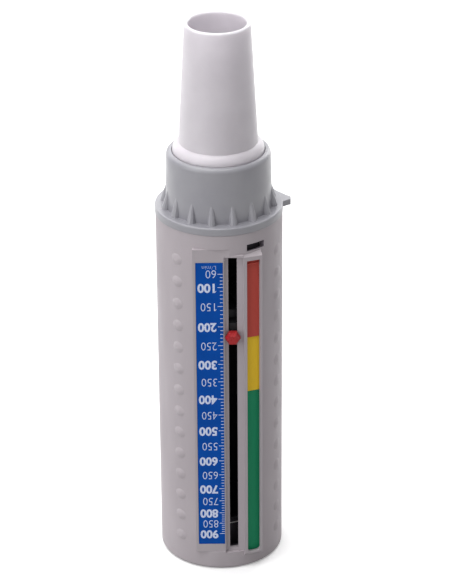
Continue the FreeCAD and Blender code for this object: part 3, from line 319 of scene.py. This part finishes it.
def printed_film(name, colour, shade, core):
    """The scale's film: an even coloured face with a soft gloss, and a paler core at its cut edges."""
    material, tree, shader = new_material(name)
    face = between(tree, noise(tree, 6 * MM, 5.0), colour, shade)
    geometry = add(tree, "NewGeometry")
    split = add(tree, "SeparateXYZ")
    facing = add(tree, "Math", operation="ABSOLUTE")
    edge_mix = add(tree, "Mix", data_type="RGBA")
    core_tone = between(tree, noise(tree, 0.8 * MM, 3.0), core, [value - 12 for value in core])
    tree.links.new(geometry.outputs["True Normal"], split.inputs["Vector"])
    tree.links.new(split.outputs["Y"], facing.inputs[0])
    tree.links.new(facing.outputs["Value"], edge_mix.inputs["Factor"])
    tree.links.new(core_tone, edge_mix.inputs["A"])
    tree.links.new(face, edge_mix.inputs["B"])
    tree.links.new(edge_mix.outputs["Result"], shader.inputs["Base Color"])
    tree.links.new(spread(tree, noise(tree, 3 * MM, 4.0), 0.36, 0.46), shader.inputs["Roughness"])
    relief(tree, shader, noise(tree, 1.1 * MM, 2.0), 0.003 * MM, 0.05 * MM)
    shader.inputs["Specular IOR Level"].default_value = 0.08
    return material


def printed_ink(name, colour, shade):
    """White ink with small thin places, printed on the film."""
    material, tree, shader = new_material(name)
    cover = noise(tree, 0.25 * MM, 4.0)
    tree.links.new(between(tree, cover, shade, colour, 0.3, 0.5), shader.inputs["Base Color"])
    tree.links.new(spread(tree, cover, 0.4, 0.55), shader.inputs["Roughness"])
    relief(tree, shader, cover, 0.002 * MM, 0.02 * MM)
    return material


DOWN_THE_BARREL = (1, 1, 4)

FINISHES = {
    "barrel": moulded("casing_plastic", (184, 176, 181), (177, 169, 174), (0.46, 0.6), flow=DOWN_THE_BARREL),
    "measuring_tube": moulded("tube_plastic", (64, 60, 66), (58, 55, 60), (0.5, 0.65), flow=DOWN_THE_BARREL,
                              gloss=0.2),
    "scale_label": printed_film("label_film", (4, 76, 168), (6, 81, 177), (190, 205, 235)),
    "zone_strip_green": moulded("strip_green", (38, 153, 109), (33, 145, 102), (0.38, 0.5), 0.5, 0.003,
                                flow=DOWN_THE_BARREL, gloss=0.12),
    "zone_slide_yellow": moulded("strip_yellow", (253, 212, 60), (248, 205, 54), (0.38, 0.5), 0.5, 0.003,
                                 flow=DOWN_THE_BARREL, gloss=0.12),
    "zone_slide_red": moulded("strip_red", (196, 83, 73), (189, 77, 67), (0.38, 0.5), 0.5, 0.003,
                              flow=DOWN_THE_BARREL, gloss=0.12),
    "base_plug": moulded("plug_plastic", (58, 55, 61), (51, 49, 54), gloss=0.2),
    "bottom_buffer": rubber("buffer_rubber", (48, 46, 50), (38, 36, 40)),
    "guide_rod": steel("rod_steel", (196, 198, 202), (170, 172, 178), (1, 1, 12)),
    "inlet_spider": moulded("spider_plastic", (216, 212, 214), (206, 202, 205)),
    "rod_retaining_clip": steel("clip_steel", (150, 148, 146), (122, 120, 120), (6, 1, 1)),
    "spring_anchor": moulded("anchor_plastic", (222, 218, 212), (212, 208, 203)),
    "top_buffer": rubber("sleeve_rubber", (42, 41, 43), (33, 32, 34)),
    "return_spring": steel("spring_steel", (205, 206, 210), (176, 178, 184), (1, 1, 6)),
    "piston": moulded("piston_plastic", (22, 21, 25), (17, 16, 20), (0.5, 0.65), gloss=0.2),
    "piston_bush": moulded("bush_plastic", (226, 223, 214), (214, 211, 203), (0.3, 0.4)),
    "pointer_knob": moulded("pointer_plastic", (172, 39, 42), (163, 34, 37), (0.24, 0.34), 0.6, 0.002, 0.2,
                            gloss=0.2, cloud=3.0),
    "pointer_runner": moulded("runner_plastic", (21, 20, 24), (16, 15, 19), (0.5, 0.65), gloss=0.2),
    "pointer_friction_pad": felt("pad_felt", (64, 60, 62), (46, 43, 46)),
    "collar": moulded("collar_plastic", (152, 151, 157), (145, 144, 151), (0.28, 0.4), 0.3, 0.003, 0.18,
                      gloss=0.6),
    "collar_seal": rubber("seal_rubber", (36, 35, 37), (28, 27, 29)),
    "mouthpiece": moulded("mouthpiece_plastic", (219, 213, 220), (212, 206, 213), (0.34, 0.44), 0.5, 0.002,
                          0.15, gloss=0.5, milky=0.8),
}
# Painted shade: the barrel's colour is darkened on the walls of the window above the rail.
band(FINISHES["barrel"], WINDOW_SHADE_MIDDLE, WINDOW_SHADE_HALF, WINDOW_SHADE_RADIUS, WINDOW_SHADE_DEPTH,
     (134, 126, 136), (126, 118, 128))
# Painted highlight: a pale line on the end stop's wall stands in for light caught at its rim.
band(FINISHES["base_plug"], STOP_HIGHLIGHT_MIDDLE, STOP_HIGHLIGHT_HALF, STOP_HIGHLIGHT_RADIUS, STOP_HIGHLIGHT_DEPTH,
     (240, 236, 234), (228, 224, 222))
INK = printed_ink("scale_ink", (222, 230, 252), (168, 188, 238))


def dress(thing, material):
    """The object's only material."""
    thing.data.materials.clear()
    thing.data.materials.append(material)


def dress_frame():
    for name, finish in FINISHES.items():
        dress(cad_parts[name], finish)


def new_piece(name, shape, material, body):
    """A mesh object from a bmesh, riding on a body."""
    mesh = bpy.data.meshes.new(name)
    shape.to_mesh(mesh)
    shape.free()
    thing = bpy.data.objects.new(name, mesh)
    bpy.context.scene.collection.objects.link(thing)
    dress(thing, material)
    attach(thing, body)
    return thing


def mark_height(reading):
    """Height of a reading above the base, in metres, straight between the marks that are given."""
    known = sorted(SCALE_MARKS)
    for low, high in zip(known, known[1:]):
        if reading <= high:
            share = (reading - low) / (high - low)
            return (SCALE_MARKS[low] + share * (SCALE_MARKS[high] - SCALE_MARKS[low])) * MM
    raise ValueError("the scale ends before " + str(reading))


def add_bar(shape, left, right, middle, thickness, face):
    """A printed bar on the label, between two places across it and about a height."""
    low = Vector((left, face - INK_THICKNESS, middle - thickness / 2))
    high = Vector((right, face, middle + thickness / 2))
    matrix = Matrix.Translation((low + high) / 2) @ Matrix.Diagonal((high - low).to_4d())
    bmesh.ops.create_cube(shape, size=1.0, matrix=matrix)


def add_lettering(shape, text, start, middle, width, height, weight, face):
    """Lettering turned upside down: it begins at start, runs towards -X and is centred on a height."""
    curve = bpy.data.curves.new("lettering", "FONT")
    curve.body = text
    curve.size = 1.0
    curve.offset = weight
    curve.resolution_u = 3
    curve.extrude = 0.5
    holder = bpy.data.objects.new("lettering", curve)
    bpy.context.scene.collection.objects.link(holder)
    bpy.context.view_layer.update()
    mesh = bpy.data.meshes.new_from_object(holder.evaluated_get(bpy.context.evaluated_depsgraph_get()))
    places = [vertex.co for vertex in mesh.vertices]
    low = Vector(min(place[axis] for place in places) for axis in range(3))
    high = Vector(max(place[axis] for place in places) for axis in range(3))
    for vertex in mesh.vertices:
        across = (vertex.co.x - low.x) / (high.x - low.x)
        up = (vertex.co.y - low.y) / (high.y - low.y)
        out = (vertex.co.z - low.z) / (high.z - low.z)
        vertex.co = (start - across * width, face - out * INK_THICKNESS, middle + (0.5 - up) * height)
    shape.from_mesh(mesh)
    bpy.data.objects.remove(holder)
    bpy.data.meshes.remove(mesh)
    bpy.data.curves.remove(curve)


def add_flag(shape, start, middle, height, face):
    """The short slanting stroke at the head of a leading 1, which stands upside down."""
    head = middle - height / 2
    outline = [(start - FIGURE_ONE_LEAD, head), (start, head + FLAG_DROP),
               (start, head + FLAG_DROP + FLAG_THICKNESS), (start - FIGURE_ONE_LEAD, head + FLAG_THICKNESS)]
    rings = [[shape.verts.new((x, y, z)) for x, z in outline] for y in (face, face - INK_THICKNESS)]
    shape.faces.new(rings[0])
    shape.faces.new(reversed(rings[1]))
    for here, after in ((0, 1), (1, 2), (2, 3), (3, 0)):
        shape.faces.new((rings[0][after], rings[0][here], rings[1][here], rings[1][after]))


def print_scale():
    """Ticks at the label's right edge, figures beside them and the unit above the first one."""
    label_low, label_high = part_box("scale_label")
    face = label_low.y
    edge = label_high.x - TICK_INSET
    start = label_high.x - FIGURE_START
    readings = sorted(SCALE_MARKS)
    ticks = bmesh.new()
    for reading in range(readings[0], readings[-1] + 1, TICK_STEP):
        long_tick = reading % FIGURE_STEP == 0 or reading == readings[0]
        length = TICK_LONG if long_tick else TICK_SHORT
        add_bar(ticks, edge - length, edge, mark_height(reading), TICK_THICKNESS, face)
    new_piece("scale_ticks", ticks, INK, "casing")
    figures = bmesh.new()
    first = mark_height(readings[0])
    two_figures = FIFTY_WIDTH * 2 / 3
    add_lettering(figures, str(readings[0]), start, first, two_figures, FIFTY_HEIGHT, FIFTY_WEIGHT, face)
    for reading in range(BOLD_STEP, readings[-1] + 1, FIGURE_STEP):
        width, height, weight = FIFTY_WIDTH, FIFTY_HEIGHT, FIFTY_WEIGHT
        if reading % BOLD_STEP == 0:
            width, height, weight = HUNDRED_WIDTH, HUNDRED_HEIGHT, HUNDRED_WEIGHT
        middle = mark_height(reading) - FIGURE_DROP
        lead = FIGURE_ONE_LEAD if reading < 2 * BOLD_STEP else 0.0
        add_lettering(figures, str(reading), start - lead, middle, width - lead, height, weight, face)
        if lead:
            add_flag(figures, start, middle, height, face)
    add_lettering(figures, "L/min", start, first + UNIT_RISE, UNIT_WIDTH, UNIT_HEIGHT, UNIT_WEIGHT, face)
    new_piece("scale_figures", figures, INK, "casing")


def make_pull_ridge():
    """The small ridge at the upper end of the red slide that a nail catches on."""
    places = [vertex.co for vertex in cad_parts["zone_slide_red"].data.vertices]
    turn = Matrix.Rotation(RAIL_AZIMUTH, 3, "Z")
    across = turn @ Vector((1, 0, 0))
    outward = turn @ Vector((0, -1, 0))
    middle = (min(place.dot(across) for place in places) + max(place.dot(across) for place in places)) / 2
    front = max(place.dot(outward) for place in places)
    top = max(place.z for place in places)
    shape = bmesh.new()
    bmesh.ops.create_cube(shape, size=1.0, matrix=Matrix.Diagonal(RIDGE_SIZE.to_4d()))
    bmesh.ops.bevel(shape, geom=shape.edges[:], offset=RIDGE_ROUND, segments=3, profile=0.5, affect="EDGES")
    centre = across * middle + outward * (front + RIDGE_SIZE.y / 2 - RIDGE_SUNK)
    centre.z = top - RIDGE_BELOW_TOP
    shape.transform(Matrix.Translation(centre) @ turn.to_4x4())
    new_piece("red_pull_ridge", shape, FINISHES["zone_slide_red"], "red_slide")


def make_spring():
    """The return spring with its full number of turns, closed at both ends."""
    low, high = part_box("return_spring")
    radius = high.x - WIRE_RADIUS
    bottom = low.z + WIRE_RADIUS
    top = high.z - WIRE_RADIUS
    steps = COIL_TURNS * COIL_STEPS
    closed = 1 / COIL_TURNS
    line = bpy.data.curves.new("spring_line", "CURVE")
    line.dimensions = "3D"
    line.bevel_depth = WIRE_RADIUS
    line.bevel_resolution = 2
    line.use_fill_caps = True
    spline = line.splines.new("POLY")
    spline.points.add(steps)
    for step, point in enumerate(spline.points):
        share = step / steps
        angle = 2 * math.pi * COIL_TURNS * share
        rise = min(max((share - closed) / (1 - 2 * closed), 0), 1)
        ends = 2 * WIRE_RADIUS * (min(share, closed) + max(share - 1 + closed, 0)) / closed
        height = bottom + ends + rise * (top - bottom - 4 * WIRE_RADIUS)
        point.co = (radius * math.cos(angle), radius * math.sin(angle), height, 1)
    holder = bpy.data.objects.new("spring_line", line)
    bpy.context.scene.collection.objects.link(holder)
    bpy.context.view_layer.update()
    mesh = bpy.data.meshes.new_from_object(holder.evaluated_get(bpy.context.evaluated_depsgraph_get()))
    mesh.name = "coil_spring"
    bpy.data.objects.remove(holder)
    spring = bpy.data.objects.new("coil_spring", mesh)
    bpy.context.scene.collection.objects.link(spring)
    spring.data.shade_smooth()
    dress(spring, FINISHES["return_spring"])
    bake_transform(spring)
    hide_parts("return_spring")


def make_camera():
    """The photograph's view. The frame's longer side is its height."""
    forward = Vector((0, math.cos(CAMERA_ELEVATION), -math.sin(CAMERA_ELEVATION)))
    right = Vector((1, 0, 0))
    up = right.cross(forward)
    rolled = right * math.cos(CAMERA_ROLL) + up * math.sin(CAMERA_ROLL)
    upright = up * math.cos(CAMERA_ROLL) - right * math.sin(CAMERA_ROLL)
    data = bpy.data.cameras.new("camera")
    data.sensor_width = SENSOR
    data.lens = FOCAL_PIXELS * SENSOR / IMAGE_HEIGHT
    data.clip_start = CAMERA_NEAR
    data.clip_end = CAMERA_FAR
    camera = bpy.data.objects.new("camera", data)
    bpy.context.scene.collection.objects.link(camera)
    axes = Matrix((rolled, upright, -forward)).transposed()
    camera.matrix_world = Matrix.Translation(LOOK_AT - forward * CAMERA_DISTANCE) @ axes.to_4x4()
    bpy.context.scene.camera = camera


def add_softbox(name, place, size, power):
    """A large lamp that faces the middle of the object."""
    data = bpy.data.lights.new(name, "AREA")
    data.shape = "RECTANGLE"
    data.size, data.size_y = size
    data.energy = power
    lamp = bpy.data.objects.new(name, data)
    bpy.context.scene.collection.objects.link(lamp)
    lamp.location = place
    aim = (cad_low + cad_high) / 2 - Vector(place)
    lamp.rotation_euler = aim.to_track_quat("-Z", "Y").to_euler()


def seen_directly(tree):
    """1 for rays from the camera, a mirror or clear material, else 0."""
    path = add(tree, "LightPath")
    mirror = add(tree, "Math", operation="MAXIMUM")
    total = add(tree, "Math", operation="MAXIMUM")
    tree.links.new(path.outputs["Is Glossy Ray"], mirror.inputs[0])
    tree.links.new(path.outputs["Is Transmission Ray"], mirror.inputs[1])
    tree.links.new(path.outputs["Is Camera Ray"], total.inputs[0])
    tree.links.new(mirror.outputs["Value"], total.inputs[1])
    return total.outputs["Value"]


def make_world():
    """Surroundings that are white where they are seen and give a softer light."""
    world = bpy.data.worlds.new("studio")
    world.use_nodes = True
    bpy.context.scene.world = world
    tree = world.node_tree
    tree.nodes.clear()
    soft = add(tree, "Background", Color=(1, 1, 1, 1), Strength=WORLD_LIGHT)
    white = add(tree, "Background", Color=(1, 1, 1, 1), Strength=WORLD_SEEN)
    mixed = add(tree, "MixShader")
    out = add(tree, "OutputWorld")
    tree.links.new(seen_directly(tree), mixed.inputs[0])
    tree.links.new(soft.outputs[0], mixed.inputs[1])
    tree.links.new(white.outputs[0], mixed.inputs[2])
    tree.links.new(mixed.outputs[0], out.inputs["Surface"])


def make_floor():
    """A pale paper floor that keeps the object's shadow."""
    bpy.ops.mesh.primitive_plane_add(size=FLOOR_SIZE, location=(0, 0, cad_low.z - FLOOR_GAP))
    floor = bpy.context.object
    floor.name = "floor"
    material, tree, shader = new_material("floor_paper")
    tone = add(tree, "Mix", data_type="RGBA")
    tone.inputs["A"].default_value = linear(*FLOOR_TONE)
    tone.inputs["B"].default_value = linear(*FLOOR_TONE_SEEN)
    seen = seen_directly(tree)
    tree.links.new(seen, tone.inputs["Factor"])
    tree.links.new(tone.outputs["Result"], shader.inputs["Base Color"])
    place = add(tree, "TexCoord")
    distance = add(tree, "VectorMath", operation="LENGTH")
    growing = add(tree, "MapRange", From_Min=FLOOR_NEAR, From_Max=FLOOR_FAR, To_Min=FLOOR_GLOW,
                  To_Max=FLOOR_GLOW_FAR)
    glow = add(tree, "Math", operation="MULTIPLY")
    tree.links.new(place.outputs["Object"], distance.inputs[0])
    tree.links.new(distance.outputs["Value"], growing.inputs["Value"])
    tree.links.new(seen, glow.inputs[0])
    tree.links.new(growing.outputs["Result"], glow.inputs[1])
    shader.inputs["Emission Color"].default_value = (1, 1, 1, 1)
    tree.links.new(glow.outputs["Value"], shader.inputs["Emission Strength"])
    shader.inputs["Roughness"].default_value = 0.9
    shader.inputs["Specular IOR Level"].default_value = 0.1
    floor.data.materials.append(material)


bpy.context.scene.view_settings.view_transform = "Standard"
dress_frame()
print_scale()
make_pull_ridge()
make_spring()
make_camera()
make_world()
make_floor()
for lamp_name, (lamp_place, lamp_size, lamp_power) in LAMPS.items():
    add_softbox(lamp_name, lamp_place, lamp_size, lamp_power)
